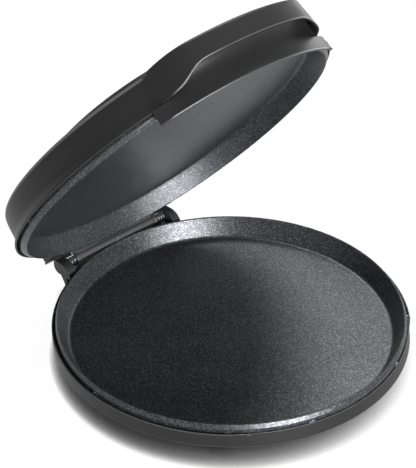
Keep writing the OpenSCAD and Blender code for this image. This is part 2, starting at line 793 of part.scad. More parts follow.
module hinge_washers() {
    color("#c9cbce") on_base() both_sides()
        translate([barrel_end_x + washer_gap, hinge_y, hinge_z]) rotate([0, 90, 0]) difference() {
            cylinder(r = collar_r, h = washer_t);
            translate([0, 0, -1]) cylinder(r = pin_r + snug, h = washer_t + 2);
        }
}

// A torsion spring wound on the pin between the washer and the bracket.
spring_rings_per_turn = 14;

module hinge_spring() {
    first_x = barrel_end_x + washer_gap + washer_t + spring_wire / 2 + 0.15;
    last_x = bracket_in_x - spring_wire / 2 - 0.15;
    mean_r = pin_r + spring_wire / 2 + 0.75;
    steps = spring_turns * spring_rings_per_turn;
    coil = [for (i = [0:steps]) let (a = 360 * spring_turns * i / steps)
        [first_x + (last_x - first_x) * i / steps, hinge_y + mean_r * sin(a), hinge_z - mean_r * cos(a)]];
    swept_tube(coil, spring_wire / 2);
}

module hinge_spring_right() { color("#bfc1c4") on_base() hinge_spring(); }
module hinge_spring_left() { color("#bfc1c4") on_base() mirror([1, 0, 0]) hinge_spring(); }

// The right-hand barrel, its web and the flange that is screwed up against the lid.
barrel_screw_xs = [39.5, 48];
spring_guard_x = barrel_end_x + 1.7;
lead_exit_x = (spring_guard_x + bracket_in_x) / 2;
lead_exit_y = boss_y - wall - 1.6;
barrel_screw_y = boss_y - wall - 3.4;
barrel_clear_r = lid_skirt_r + 0.5;

module hinge_barrel() {
    inner_x = ring_half_w;
    length = barrel_end_x - inner_x;
    difference() {
        union() {
            translate([inner_x, hinge_y, hinge_z]) rotate([0, 90, 0]) {
                cylinder(r = barrel_r, h = length);
                translate([0, 0, length - collar_w]) cylinder(r = collar_r, h = collar_w);
            }
            translate([inner_x, hinge_y - web_t / 2, hinge_z])
                cube([length, web_t - 0.4, flange_z - flange_t - hinge_z + 1]);
            translate([inner_x, hinge_y - 9, flange_z - flange_t])
                cube([length, boss_y - 0.3 - hinge_y + 9, flange_t]);
        }
        translate([inner_x - 1, hinge_y, hinge_z]) rotate([0, 90, 0])
            cylinder(r = pin_r + running, h = barrel_end_x + 2);
        // clear of the lid's plate
        translate([0, 0, lid_rim_z + 0.4]) cylinder(r = barrel_clear_r, h = 20);
        for (x = barrel_screw_xs) translate([x, barrel_screw_y, flange_z - flange_t - 1])
            cylinder(d = small_screw_d + 2 * snug, h = flange_t + 2, $fn = 32);
    }
}

module hinge_barrel_right() { color("#3a3b3e") on_lid() hinge_barrel(); }
module hinge_barrel_left() { color("#3a3b3e") on_lid() mirror([1, 0, 0]) hinge_barrel(); }

module hinge_barrel_screws() {
    color("#9c9ea1") on_lid() both_sides() for (x = barrel_screw_xs)
        translate([x, barrel_screw_y, boss_floor_z]) mirror([0, 0, 1])
            screw(small_screw_d, boss_floor_z - flange_z + flange_t, small_head_d, small_head_h);
}

// ---- Lid shell -------------------------------------------------------------------------------

// Share of the band's height against share of the way in from its lower edge to its upper edge.
band_shape = smooth([
    [0, 0], [0.07, 0.04], [0.13, 0.19], [0.23, 0.44], [0.35, 0.62], [0.54, 0.7], [0.79, 0.77], [1, 0.9]
], 3);
// Outside radius of the lid's band at height z: flared at its lower edge.
function band_r(z) = lid_r - (lid_r - band_top_r)
    * lookup((z - lid_low_z) / (lid_band_z - band_round - lid_low_z), band_shape);

// Outside of the lid above its band: a shelf and the raised middle.
function top_outline(inset) =
    let (round_r = max(band_round - inset, 1), rise_r = crown_r - inset)
    concat(
        arc(band_top_r - band_round + 0.6, lid_band_z - band_round, round_r, 8, 84, 5),
        [[rise_r + 9, lid_band_z + shelf_rise - inset]],
        [for (i = [1:8])
            [rise_r + 9 - 14 * i / 8,
             lid_band_z + shelf_rise - inset + (crown_z - shelf_rise - lid_band_z) * ease(i / 8)]],
        [for (i = [1:6]) let (r = (rise_r - 5) * (1 - i / 6))
            [r, crown_z - inset + crown_rise * (1 - pow(r / rise_r, 2))]]
    );

module lid_outer_solid() {
    rotate_extrude() polygon(concat(
        [[0, lid_low_z]],
        [for (k = band_shape) let (z = lid_low_z + k[0] * (lid_band_z - band_round - lid_low_z))
            [band_r(z), z]],
        top_outline(0)
    ));
}

module lid_inner_solid() {
    from_z = lid_ledge_z + 2.5;
    rotate_extrude() polygon(concat(
        [[0, lid_low_z - 1], [lid_r - lip_wall, lid_low_z - 1], [lid_r - lip_wall - 0.3, lid_low_z + 1.8],
         [lid_skirt_r + 0.9, lid_ledge_z]],
        [for (i = [0:4]) let (z = from_z + (lid_band_z - band_round - 1 - from_z) * i / 4)
            [min(band_r(z) - wall, lid_skirt_r + 0.9), z]],
        top_outline(wall)
    ));
}

// Plan of the handle: a full round front that falls away ever faster into the band at its ends.
function brow_radius(a, inset) = brow_r - brow_fall * pow(max(0, abs(a) - brow_full_a), 2) - inset;

module brow_plan(inset) {
    polygon(concat([[0, -100]],
        [for (a = [-brow_reach_a:1:brow_reach_a]) let (r = brow_radius(a, inset)) [r * sin(a), -r * cos(a)]]));
}

// Height of the handle's lower edge at a distance x from the middle: it falls slowly at first.
function brow_edge(x) =
    let (t = min(1, max(0, (abs(x) - recess_half_w) / recess_fall_w)))
    brow_end_z + (brow_low_z - brow_end_z) * (1 - ease(pow(t, 1.6)));

module under_brow() {
    span = 110;
    fall_x = [for (i = [0:12]) recess_half_w + i * recess_fall_w / 12];
    xs = concat([-span], [for (i = [12:-1:0]) -fall_x[i]], fall_x, [span]);
    rotate([90, 0, 0]) linear_extrude(height = big)
        polygon(concat([[-span, 0]], [for (x = xs) [x, brow_edge(x)]], [[span, 0]]));
}

// The handle as a solid, leaning in a little towards its top and rounded there.
module brow_solid(inset) {
    top_z = lid_band_z - inset;
    lean = 2.6;
    intersection() {
        translate([0, 0, lid_low_z])
            linear_extrude(height = lid_band_z - lid_low_z, scale = brow_top_scale) brow_plan(inset);
        rotate_extrude() polygon(concat(
            [[0, lid_low_z], [brow_r + 2 - inset, lid_low_z]],
            arc(brow_r - inset - lean - 2.6, top_z - 3, 3, 0, 84, 5),
            [[0, top_z + 1]]
        ));
    }
}

module lid_boss(inset) {
    half = boss_half_w - inset;
    depth = 60;
    top = boss_z - inset;
    translate([-half, boss_y - depth, 0]) rotate([90, 0, 90])
        linear_extrude(height = 2 * half) polygon(concat(
            [[0, lid_low_z - (inset > 0 ? 1 : 0)], [depth - inset, lid_low_z - (inset > 0 ? 1 : 0)]],
            arc(depth - inset - boss_round, top - boss_round, boss_round, 0, 80, 5),
            [[0, top]]
        ));
}

module lid_shell() {
    color("#333335") on_lid() difference() {
        union() {
            difference() {
                union() {
                    lid_outer_solid();
                    difference() {
                        brow_solid(0);
                        under_brow();
                    }
                    lid_boss(0);
                }
                lid_inner_solid();
                difference() {
                    brow_solid(wall);
                    lid_outer_solid();
                }
                difference() {
                    lid_boss(wall);
                    cylinder(r = lid_r - 30, h = big);
                }
            }
            // ledge that the plate's skirt meets
            difference() {
                translate([0, 0, lid_ledge_z]) cylinder(r = lid_skirt_r + 1.2, h = ledge_t);
                translate([0, 0, lid_ledge_z - 1]) cylinder(r = lid_skirt_r - 6, h = ledge_t + 2);
            }
            // floor of the hinge boss
            difference() {
                translate([-boss_half_w + 1, boss_y - 60, lid_low_z])
                    cube([2 * boss_half_w - 2, 60 - 1, boss_floor_z - lid_low_z]);
                translate([0, 0, lid_low_z - 1]) cylinder(r = lid_skirt_r + 0.7, h = 20);
            }
            // guards that hang down behind the springs
            both_sides() translate([spring_guard_x, boss_y - spring_guard_t, spring_guard_z])
                cube([bracket_in_x - 0.8 - spring_guard_x, spring_guard_t, boss_floor_z - spring_guard_z]);
        }
        for (a = grip_screw_angles) rotate([0, 0, a])
            translate([0, -band_r(grip_screw_z) + wall + 4, grip_screw_z]) rotate([90, 0, 0])
                cylinder(d = small_screw_d + 2 * snug, h = wall + 8, $fn = 32);
        for (x = barrel_screw_xs, side = [-1, 1]) translate([side * x, barrel_screw_y, 0]) {
            translate([0, 0, lid_low_z - 1])
                cylinder(d = small_screw_d + 2 * snug, h = 8, $fn = 32);
            translate([0, 0, boss_floor_z])
                cylinder(d = small_head_d + 0.4, h = small_head_h + 1, $fn = 32);
        }
        // holes for the leads on their way to the base
        both_sides() translate([lead_exit_x, lead_exit_y, spring_guard_z - 1])
            cylinder(d = lead_d + 0.4, h = boss_floor_z - spring_guard_z + 2, $fn = 32);
    }
}

// ---- Grip --------------------------------------------------------------------------------------

grip_screw_angles = [-20, 0, 20];
grip_screw_z = 65.5;
grip_post_d = 7;
grip_post_r = band_r(grip_screw_z - grip_post_d / 2) + seat;

// Radius of the finger recess's surface at height z: waisted between its lip and ceiling.
recess_sweep = 16;
function recess_r(z) =
    let (waist = grip_low_z + 14, low = max(0, waist - z) / 14)
    grip_r + 1.4 * low * low
        + recess_sweep * (1 - sqrt(1 - pow(max(0, z - recess_top_z + recess_sweep) / recess_sweep, 2)));

// Section of the moulding: its lip, its back wall and the ceiling of the finger recess.
module grip_section() {
    inner = grip_r - grip_wall;
    heights = [for (i = [0:5]) grip_low_z + 1 + i * (recess_top_z - recess_sweep - grip_low_z - 1) / 5];
    polygon(concat(
        [[inner, grip_low_z], [recess_r(grip_low_z) - 0.3, grip_low_z],
         [recess_r(grip_low_z), grip_low_z + 0.3]],
        [for (z = heights) [recess_r(z), z]],
        [for (i = [1:7]) let (z = recess_top_z - recess_sweep + recess_sweep * sin(90 * i / 8))
            [recess_r(z), z]],
        [[brow_r, recess_top_z], [brow_r, recess_top_z + grip_wall],
         [inner + 4, recess_top_z + grip_wall], [inner, recess_top_z - 4]]
    ));
}

module handle_grip() {
    fit = 0.3;
    color("#3a3a3c") on_lid() difference() {
        union() {
            intersection() {
                rotate([0, 0, -90 - grip_half_a])
                    rotate_extrude(angle = 2 * grip_half_a) grip_section();
                union() {
                    linear_extrude(height = brow_end_z - fit) circle(r = big / 2);
                    brow_solid(wall + fit);
                }
            }
            // posts that reach back to the lid's band
            for (a = grip_screw_angles) rotate([0, 0, a])
                translate([0, -grip_post_r, grip_screw_z]) rotate([90, 0, 0])
                    cylinder(d = grip_post_d, h = grip_r - grip_wall / 2 - grip_post_r, $fn = 48);
        }
        for (a = grip_screw_angles) rotate([0, 0, a])
            translate([0, -grip_post_r + 1, grip_screw_z]) rotate([90, 0, 0])
                cylinder(d = small_screw_d + 2 * snug, h = grip_r - grip_wall - grip_post_r + 1,
                    $fn = 32);
    }
}

module handle_grip_screws() {
    head_r = band_r(grip_screw_z) - wall - 0.4;
    color("#9c9ea1") on_lid() for (a = grip_screw_angles) rotate([0, 0, a])
        translate([0, -head_r, grip_screw_z]) rotate([90, 0, 0])
            screw(small_screw_d, grip_r - grip_wall - head_r - 0.4, small_head_d, small_head_h);
}

base_housing();
base_plate();
base_plate_clips();
base_heating_element();
base_element_clamps();
base_reflector();
base_plate_screws();
feet();
cord_gland();
terminal_block();
base_thermostat();
base_leads();
hinge_bracket_left();
hinge_bracket_right();
hinge_bracket_screws();
hinge_pin();
hinge_spring_left();
hinge_spring_right();
hinge_washers();
hinge_centre_ring();
lid_shell();
handle_grip();
handle_grip_screws();
lid_plate();
lid_plate_clips();
lid_heating_element();
lid_element_clamps();
lid_reflector();
lid_reflector_screws();
hinge_barrel_left();
hinge_barrel_right();
hinge_barrel_screws();
lid_thermostat();
lid_leads();
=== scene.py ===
import json
import math

import bpy
import numpy as np
from mathutils import Matrix, Vector


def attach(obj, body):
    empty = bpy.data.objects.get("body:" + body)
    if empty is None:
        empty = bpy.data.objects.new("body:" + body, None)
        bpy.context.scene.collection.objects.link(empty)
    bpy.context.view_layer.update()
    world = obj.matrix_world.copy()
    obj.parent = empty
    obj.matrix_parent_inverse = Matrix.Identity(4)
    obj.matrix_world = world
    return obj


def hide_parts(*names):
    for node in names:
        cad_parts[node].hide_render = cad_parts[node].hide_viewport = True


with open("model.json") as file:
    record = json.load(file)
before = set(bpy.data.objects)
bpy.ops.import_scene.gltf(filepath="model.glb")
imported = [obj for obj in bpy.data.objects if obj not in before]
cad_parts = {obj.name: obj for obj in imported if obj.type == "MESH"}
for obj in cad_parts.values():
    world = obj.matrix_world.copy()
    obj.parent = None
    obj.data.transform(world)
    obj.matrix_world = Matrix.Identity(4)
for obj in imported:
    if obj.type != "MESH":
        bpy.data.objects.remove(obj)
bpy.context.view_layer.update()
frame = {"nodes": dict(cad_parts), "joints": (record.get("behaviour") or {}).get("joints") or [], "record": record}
print("frame loaded:", len(frame["nodes"]), "nodes")

# Shapes are worked out in millimetres about the base's centre, with the lid shut. The frame's hinge
# gives the pin's height, the centre's place in the frame and the angle by which the lid is open.
mm = 0.001
pinY = 169.5  # from the base's centre back to the pin
lidHinge = [joint for joint in frame["joints"] if joint["name"] == "lid_hinge"][0]
pinZ = lidHinge["pos_m"][2] / mm
frameY = lidHinge["pos_m"][1] - pinY * mm
openAngle = -math.radians(lidHinge["range_deg"][0])

cameraValues = {
    "azimuth": -43.16,
    "elevation": 33.32,
    "roll": -0.36,
    "place": (-722.0, -738.7, 806.0),  # millimetres from the base's centre
    "lens": 104.07,
    "sensor": 36.0,
    "clip": (0.05, 50.0),
}


# The camera looks along minus back, the unit vector at the azimuth and elevation; its right and up
# are turned about that line by the roll.
def makeCamera(v):
    azimuth, elevation, roll = (math.radians(v[k]) for k in ("azimuth", "elevation", "roll"))
    level = math.cos(elevation)
    back = Vector((math.sin(azimuth) * level, -math.cos(azimuth) * level, math.sin(elevation)))
    right = Vector((math.cos(azimuth), math.sin(azimuth), 0.0))
    up = back.cross(right)
    turnedRight = right * math.cos(roll) + up * math.sin(roll)
    turnedUp = up * math.cos(roll) - right * math.sin(roll)
    cam = bpy.data.cameras.new("viewCamera")
    cam.lens = v["lens"]
    cam.sensor_width = v["sensor"]
    cam.clip_start, cam.clip_end = v["clip"]
    ob = bpy.data.objects.new("viewCamera", cam)
    place = Matrix((turnedRight, turnedUp, back)).transposed().to_4x4()
    x, y, z = v["place"]
    place.translation = Vector((x * mm, y * mm + frameY, z * mm))
    ob.matrix_world = place
    bpy.context.collection.objects.link(ob)
    bpy.context.scene.camera = ob


makeCamera(cameraValues)
print("camera placed")


# Adds a node: its properties are set by name, and the sockets in inputs get their values.
def addNode(tree, kind, inputs=None, **properties):
    node = tree.nodes.new("ShaderNode" + kind)
    for name, value in properties.items():
        setattr(node, name, value)
    for socket, value in (inputs or {}).items():
        node.inputs[socket].default_value = value
    return node


# Links each pair of an output and an input.
def linkAll(tree, *pairs):
    for source, target in pairs:
        tree.links.new(source, target)


lightValues = {
    "worldColour": (1.0, 1.0, 1.0, 1.0),
    "worldStrength": 0.38,
    "floorHalf": 12.0,
    "floorGlow": 0.95,
    "floorColour": 0.1,
    "floorBounce": 0.4,  # brightness of the floor for dull rays
    "floorMirrored": 0.68,  # and for mirrored ones
    # the painted shadow on the floor round the part: its reach, steepness, lean and samples
    "shadowReach": 0.0215,
    "shadowPower": 4.6,
    "shadowLean": (1.3, -0.8, 1.0),
    "shadowSamples": 8,
    "softboxes": (
        # name, place, aim, size x, size y, power
        ("keyBox", (0.9, 0.9, 1.9), (0.0, 0.0, 0.05), 1.2, 1.2, 26.0),
        ("frontBox", (-0.48, -2.15, 0.45), (0.05, 0.1, 0.1), 0.8, 0.4, 56.0),
        ("sideBox", (2.15, 0.35, 0.5), (0.0, 0.0, 0.2), 1.1, 0.8, 8.0),
    ),
}


# A rectangular lamp at its place, turned so that it shines at its aim.
def makeSoftbox(name, place, aim, sizeX, sizeY, power):
    light = bpy.data.lights.new(name, "AREA")
    light.shape = "RECTANGLE"
    light.size, light.size_y = sizeX, sizeY
    light.energy = power
    ob = bpy.data.objects.new(name, light)
    direction = Vector(aim) - Vector(place)
    ob.matrix_world = direction.to_track_quat("-Z", "Y").to_matrix().to_4x4()
    ob.location = place
    bpy.context.collection.objects.link(ob)


# The camera sees white behind the part; every other ray meets an even, weaker sky.
def makeWorld(v):
    world = bpy.data.worlds.new("studio")
    world.use_nodes = True
    tree = world.node_tree
    tree.nodes.clear()
    out = addNode(tree, "OutputWorld")
    sky = addNode(tree, "Background", {"Color": v["worldColour"], "Strength": v["worldStrength"]})
    white = addNode(tree, "Background", {"Color": (1.0, 1.0, 1.0, 1.0), "Strength": 1.0})
    mix, path = addNode(tree, "MixShader"), addNode(tree, "LightPath")
    linkAll(
        tree,
        (path.outputs["Is Camera Ray"], mix.inputs["Fac"]),
        (sky.outputs[0], mix.inputs[1]),
        (white.outputs[0], mix.inputs[2]),
        (mix.outputs[0], out.inputs["Surface"]),
    )
    bpy.context.scene.world = world


# To the camera the floor is white: its lit colour plus a glow, both darkened near the part by a power
# of the share of sky that is open there, seen a little aslant, into a painted shadow. Mirrored rays
# meet a pale floor, others a dull one.
def makeFloor(v):
    half = v["floorHalf"]
    corners = [(-half, -half, 0), (half, -half, 0), (half, half, 0), (-half, half, 0)]
    me = bpy.data.meshes.new("studioFloor")
    me.from_pydata(corners, [], [(0, 1, 2, 3)])
    ob = bpy.data.objects.new("studioFloor", me)
    bpy.context.collection.objects.link(ob)
    mat = bpy.data.materials.new("studioFloor")
    mat.use_nodes = True
    tree = mat.node_tree
    tree.nodes.clear()
    out = addNode(tree, "OutputMaterial")
    path = addNode(tree, "LightPath")
    lean = addNode(tree, "CombineXYZ", dict(enumerate(v["shadowLean"])))
    near = addNode(
        tree, "AmbientOcclusion", {"Distance": v["shadowReach"]}, samples=v["shadowSamples"])
    power = addNode(tree, "Math", {1: v["shadowPower"]}, operation="POWER")
    tone = addNode(tree, "Math", {1: v["floorColour"]}, operation="MULTIPLY")
    gain = addNode(tree, "Math", {1: v["floorGlow"]}, operation="MULTIPLY")
    seen, glow = addNode(tree, "BsdfDiffuse"), addNode(tree, "Emission")
    bounce = addNode(tree, "BsdfDiffuse", {"Color": (v["floorBounce"],) * 3 + (1.0,)})
    mirrored = addNode(tree, "Emission", {"Strength": v["floorMirrored"]})
    both = addNode(tree, "AddShader")
    byMirror, byCamera = addNode(tree, "MixShader"), addNode(tree, "MixShader")
    linkAll(
        tree,
        (lean.outputs[0], near.inputs["Normal"]),
        (near.outputs["AO"], power.inputs[0]),
        (power.outputs[0], tone.inputs[0]),
        (power.outputs[0], gain.inputs[0]),
        (tone.outputs[0], seen.inputs["Color"]),
        (gain.outputs[0], glow.inputs["Strength"]),
        (seen.outputs[0], both.inputs[0]),
        (glow.outputs[0], both.inputs[1]),
        (path.outputs["Is Glossy Ray"], byMirror.inputs["Fac"]),
        (bounce.outputs[0], byMirror.inputs[1]),
        (mirrored.outputs[0], byMirror.inputs[2]),
        (path.outputs["Is Camera Ray"], byCamera.inputs["Fac"]),
        (byMirror.outputs[0], byCamera.inputs[1]),
        (both.outputs[0], byCamera.inputs[2]),
        (byCamera.outputs[0], out.inputs["Surface"]),
    )
    me.materials.append(mat)


makeWorld(lightValues)
bpy.context.scene.view_settings.view_transform = "Standard"
for box in lightValues["softboxes"]:
    makeSoftbox(*box)
makeFloor(lightValues)
print("light and floor ready")

grainValues = {
    "fineDetail": 3.0,
    "slowScale": 9.0,
    "slowDetail": 2.0,
    "height": 0.0004,
    "bevelSamples": 4,
    "turnNone": 0.985,  # cosine of the bevel's turn at which the painted edge highlight starts to show
    "turnFull": 0.9,
}
speckleValues = {
    "cloudScale": 14.0,
    "cloudDetail": 3.0,
    "grainDetail": 2.0,
    "height": 0.0005,
    "bevelSamples": 4,
}


# An empty group with number inputs, number outputs for its masks, and a normal.
def newGroup(name, inputs, masks):
    group = bpy.data.node_groups.new(name, "ShaderNodeTree")
    sockets = [(socket, "INPUT", "NodeSocketFloat") for socket in inputs]
    sockets += [(socket, "OUTPUT", "NodeSocketFloat") for socket in masks]
    sockets.append(("Normal", "OUTPUT", "NodeSocketVector"))
    for socket, direction, kind in sockets:
        group.interface.new_socket(name=socket, in_out=direction, socket_type=kind)
    return group, group.nodes.new("NodeGroupInput"), group.nodes.new("NodeGroupOutput")


# A fine moulded grain: the height is fine noise and the mask slow noise. The painted edge highlight is
# the larger of Sharp times how far the rounding turns the normal, and of the mesh's own highlight line.
def makeGrainGroup(v):
    tree, given, out = newGroup(
        "mouldedGrain", ("Scale", "Depth", "Rounding", "Sharp"), ("Mask", "EdgeHighlight"))
    place, surface = addNode(tree, "TexCoord"), addNode(tree, "NewGeometry")
    fine = addNode(tree, "TexNoise", {"Detail": v["fineDetail"]})
    slow = addNode(tree, "TexNoise", {"Scale": v["slowScale"], "Detail": v["slowDetail"]})
    bevel = addNode(tree, "Bevel", samples=v["bevelSamples"])
    bump = addNode(tree, "Bump", {"Distance": v["height"]})
    turn = addNode(tree, "VectorMath", operation="DOT_PRODUCT")
    bent = addNode(tree, "MapRange", {"From Min": v["turnNone"], "From Max": v["turnFull"]})
    share = addNode(tree, "Math", operation="MULTIPLY")
    line = addNode(tree, "Attribute", attribute_name="highlightLine")
    larger = addNode(tree, "Math", operation="MAXIMUM")
    linkAll(
        tree,
        (place.outputs["Object"], fine.inputs["Vector"]),
        (place.outputs["Object"], slow.inputs["Vector"]),
        (given.outputs["Scale"], fine.inputs["Scale"]),
        (given.outputs["Rounding"], bevel.inputs["Radius"]),
        (given.outputs["Depth"], bump.inputs["Strength"]),
        (fine.outputs["Fac"], bump.inputs["Height"]),
        (bevel.outputs[0], bump.inputs["Normal"]),
        (bevel.outputs[0], turn.inputs[0]),
        (surface.outputs["Normal"], turn.inputs[1]),
        (turn.outputs["Value"], bent.inputs["Value"]),
        (bent.outputs["Result"], share.inputs[0]),
        (given.outputs["Sharp"], share.inputs[1]),
        (share.outputs[0], larger.inputs[0]),
        (line.outputs["Fac"], larger.inputs[1]),
        (slow.outputs["Fac"], out.inputs["Mask"]),
        (larger.outputs[0], out.inputs["EdgeHighlight"]),
        (bump.outputs[0], out.inputs["Normal"]),
    )
    return tree


# Non-stick speckle: each cell of a Voronoi pattern gets a random number, and flakes rise from 0 at
# the limit to 1. The cloud is slow noise, and the height is grain as fine as the cells.
def makeSpeckleGroup(v):
    tree, given, out = newGroup(
        "nonstickSpeckle", ("Scale", "Limit", "Depth", "Rounding"), ("Flakes", "Cloud"))
    place = addNode(tree, "TexCoord")
    cells = addNode(tree, "TexVoronoi", feature="F1")
    chance = addNode(tree, "TexWhiteNoise", noise_dimensions="3D")
    steep = addNode(tree, "MapRange", {"From Max": 1.0})
    cloud = addNode(tree, "TexNoise", {"Scale": v["cloudScale"], "Detail": v["cloudDetail"]})
    grain = addNode(tree, "TexNoise", {"Detail": v["grainDetail"]})
    bevel = addNode(tree, "Bevel", samples=v["bevelSamples"])
    bump = addNode(tree, "Bump", {"Distance": v["height"]})
    linkAll(
        tree,
        (place.outputs["Object"], cells.inputs["Vector"]),
        (place.outputs["Object"], cloud.inputs["Vector"]),
        (place.outputs["Object"], grain.inputs["Vector"]),
        (given.outputs["Scale"], cells.inputs["Scale"]),
        (given.outputs["Scale"], grain.inputs["Scale"]),
        (cells.outputs["Position"], chance.inputs["Vector"]),
        (chance.outputs["Value"], steep.inputs["Value"]),
        (given.outputs["Limit"], steep.inputs["From Min"]),
        (given.outputs["Rounding"], bevel.inputs["Radius"]),
        (given.outputs["Depth"], bump.inputs["Strength"]),
        (grain.outputs["Fac"], bump.inputs["Height"]),
        (bevel.outputs[0], bump.inputs["Normal"]),
        (steep.outputs["Result"], out.inputs["Flakes"]),
        (cloud.outputs["Fac"], out.inputs["Cloud"]),
        (bump.outputs[0], out.inputs["Normal"]),
    )
    return tree


grainGroup = makeGrainGroup(grainValues)
speckleGroup = makeSpeckleGroup(speckleValues)
highlightRoughness = 0.3  # of the edges that carry the painted highlight
rampSpan = (0.3, 0.7)  # where a noise moves from the dark tone to the light one


# A material with its shader's plain values set, and one group placed in it that gives the normal.
def newMaterial(name, group, groupInputs, metallic, roughness, specular):
    mat = bpy.data.materials.new(name)
    mat.use_nodes = True
    tree = mat.node_tree
    shader = tree.nodes["Principled BSDF"]
    shader.inputs["Metallic"].default_value = metallic
    shader.inputs["Roughness"].default_value = roughness
    shader.inputs["Specular IOR Level"].default_value = specular
    placed = addNode(tree, "Group", node_tree=group)
    for socket, value in groupInputs.items():
        placed.inputs[socket].default_value = value
    tree.links.new(placed.outputs["Normal"], shader.inputs["Normal"])
    return mat, tree, shader, placed


# The colour goes from the dark tone to the light one as the source crosses the ramp's span.
def twoTones(tree, source, dark, light):
    node = addNode(tree, "ValToRGB")
    for stop, at, colour in zip(node.color_ramp.elements, rampSpan, (dark, light)):
        stop.position = at
        stop.color = (*colour, 1.0)
    tree.links.new(source, node.inputs["Fac"])
    return node.outputs["Color"]


# The base colour, replaced by the top one as far as the mask says.
def overlay(tree, mask, base, top):
    mix = addNode(tree, "Mix", data_type="RGBA")
    mix.inputs[7].default_value = (*top, 1.0)
    linkAll(tree, (mask, mix.inputs[0]), (base, mix.inputs[6]))
    return mix.outputs[2]


# Moulded plastic: the base colour moves between two near tones and the grain gives the normal.
# Where an edge colour is given, edges take it as a painted highlight and become smoother.
def plastic(name, dark, light, roughness, scale, depth, rounding, specular=0.5, metallic=0.0,
        edge=None, sharp=0.0):
    values = {"Scale": scale, "Depth": depth, "Rounding": rounding, "Sharp": sharp}
    mat, tree, shader, grain = newMaterial(
        name, grainGroup, values, metallic, roughness, specular)
    colour = twoTones(tree, grain.outputs["Mask"], dark, light)
    if edge:
        colour = overlay(tree, grain.outputs["EdgeHighlight"], colour, edge)
        highlightRough = addNode(tree, "MapRange", {"To Min": roughness, "To Max": highlightRoughness})
        linkAll(
            tree,
            (grain.outputs["EdgeHighlight"], highlightRough.inputs["Value"]),
            (highlightRough.outputs["Result"], shader.inputs["Roughness"]),
        )
    tree.links.new(colour, shader.inputs["Base Color"])
    return mat


# Metal is the same recipe with a metallic shader and a shallower, coarser grain.
def metal(name, dark, light, roughness):
    return plastic(
        name, dark, light, roughness, scale=600.0, depth=0.02, rounding=0.0003, metallic=1.0)


# Coated metal: the base colour moves between two near tones, and flakes lie over it.
def speckled(name, dark, light, flake, roughness, depth, scale=1250.0, limit=0.6, rounding=0.001):
    values = {"Scale": scale, "Limit": limit, "Depth": depth, "Rounding": rounding}
    mat, tree, shader, speckle = newMaterial(
        name, speckleGroup, values, metallic=0.6, roughness=roughness, specular=0.6)
    colour = twoTones(tree, speckle.outputs["Cloud"], dark, light)
    colour = overlay(tree, speckle.outputs["Flakes"], colour, flake)
    tree.links.new(colour, shader.inputs["Base Color"])
    return mat


# Both charcoal finishes share these. The edge colour is a painted highlight: the CAD's sharp edges get
# their highlight line from the bevel's turn, and the skins get theirs from the mesh.
charcoalValues = {
    "dark": (0.016, 0.016, 0.017),
    "light": (0.021, 0.021, 0.022),
    "edge": (0.3, 0.3, 0.31),
    "roughness": 0.38,
    "specular": 0.4,
    "scale": 1500.0,
    "depth": 0.1,
    "rounding": 0.0007,
}
finishes = {
    "charcoal_plastic": plastic("charcoalPlastic", sharp=1.0, **charcoalValues),
    "black_plastic": plastic(
        "blackPlastic", dark=(0.028, 0.028, 0.03), light=(0.038, 0.038, 0.04),
        roughness=0.42, scale=1200.0, depth=0.08, rounding=0.0006),
    "nonstick_plate": speckled(
        "nonstickCoat", dark=(0.04, 0.042, 0.047), light=(0.062, 0.064, 0.07),
        flake=(0.203, 0.213, 0.228), roughness=0.29, depth=0.4),
    "black_enamel": plastic(
        "blackEnamel", dark=(0.07, 0.07, 0.075), light=(0.1, 0.1, 0.105),
        roughness=0.3, scale=900.0, depth=0.06, rounding=0.0004, specular=0.7),
    "bright_steel": metal(
        "brightSteel", dark=(0.26, 0.27, 0.29), light=(0.32, 0.33, 0.35), roughness=0.5),
    "steel": metal(
        "zincSteel", dark=(0.42, 0.43, 0.45), light=(0.5, 0.51, 0.53), roughness=0.34),
    "element_sheath": metal(
        "elementSheath", dark=(0.09, 0.095, 0.095), light=(0.15, 0.15, 0.145), roughness=0.5),
    "aluminised_sheet": metal(
        "aluminisedSheet", dark=(0.6, 0.6, 0.62), light=(0.7, 0.7, 0.71), roughness=0.3),
    "cream_ceramic": plastic(
        "creamCeramic", dark=(0.62, 0.58, 0.48), light=(0.68, 0.64, 0.55),
        roughness=0.3, scale=400.0, depth=0.05, rounding=0.0004),
    "sleeved_lead": plastic(
        "sleevedLead", dark=(0.6, 0.58, 0.53), light=(0.72, 0.7, 0.65),
        roughness=0.8, scale=3000.0, depth=0.4, rounding=0.0002),
    "foot_rubber": plastic(
        "footRubber", dark=(0.008, 0.008, 0.009), light=(0.013, 0.013, 0.014),
        roughness=0.7, scale=1500.0, depth=0.2, rounding=0.0005),
}
# The lid's plate gets a slightly paler copy of the base's coat: painted light for the brighter glow on its floor.
litLidCoat = speckled(
    "litLidCoat", dark=(0.045, 0.047, 0.052), light=(0.068, 0.07, 0.076),
    flake=(0.183, 0.193, 0.208), roughness=0.3, depth=0.45)
mouldedSkin = plastic("mouldedSkin", **charcoalValues)
print("materials made:", len(finishes) + 2)


# Rises from 0 to 1 as t does, level at both ends: 3 t squared less 2 t cubed.
def smoothStep(t):
    t = np.clip(t, 0.0, 1.0)
    return t * t * (3 - 2 * t)


# How far x has come from the first of two values to the second, eased at both ends.
def eased(x, span):
    return smoothStep((x - span[0]) / (span[1] - span[0]))


# Larger of two values, blended over the width k where they meet.
def softMax(a, b, k):
    return (a + b + np.sqrt((a - b) ** 2 + k * k)) / 2


# Smaller of two values, blended likewise.
def softMin(a, b, k):
    return (a + b - np.sqrt((a - b) ** 2 + k * k)) / 2


# Points of a smooth curve through the given ones: on each stretch, the cubic through the stretch's
# ends and its two neighbours, at even steps.
def smoothCurve(points, steps=16):
    p = np.array([points[0], *points, points[-1]], float)
    a, b, c, d = (p[k : len(p) - 3 + k, None] for k in range(4))
    t = np.arange(steps)[None, :, None] / steps
    bend = 2 * a - 5 * b + 4 * c - d + t * (3 * b - a - 3 * c + d)
    curve = b + 0.5 * t * (c - a + t * bend)
    return np.concatenate([curve.reshape(-1, 2), p[-1:]])


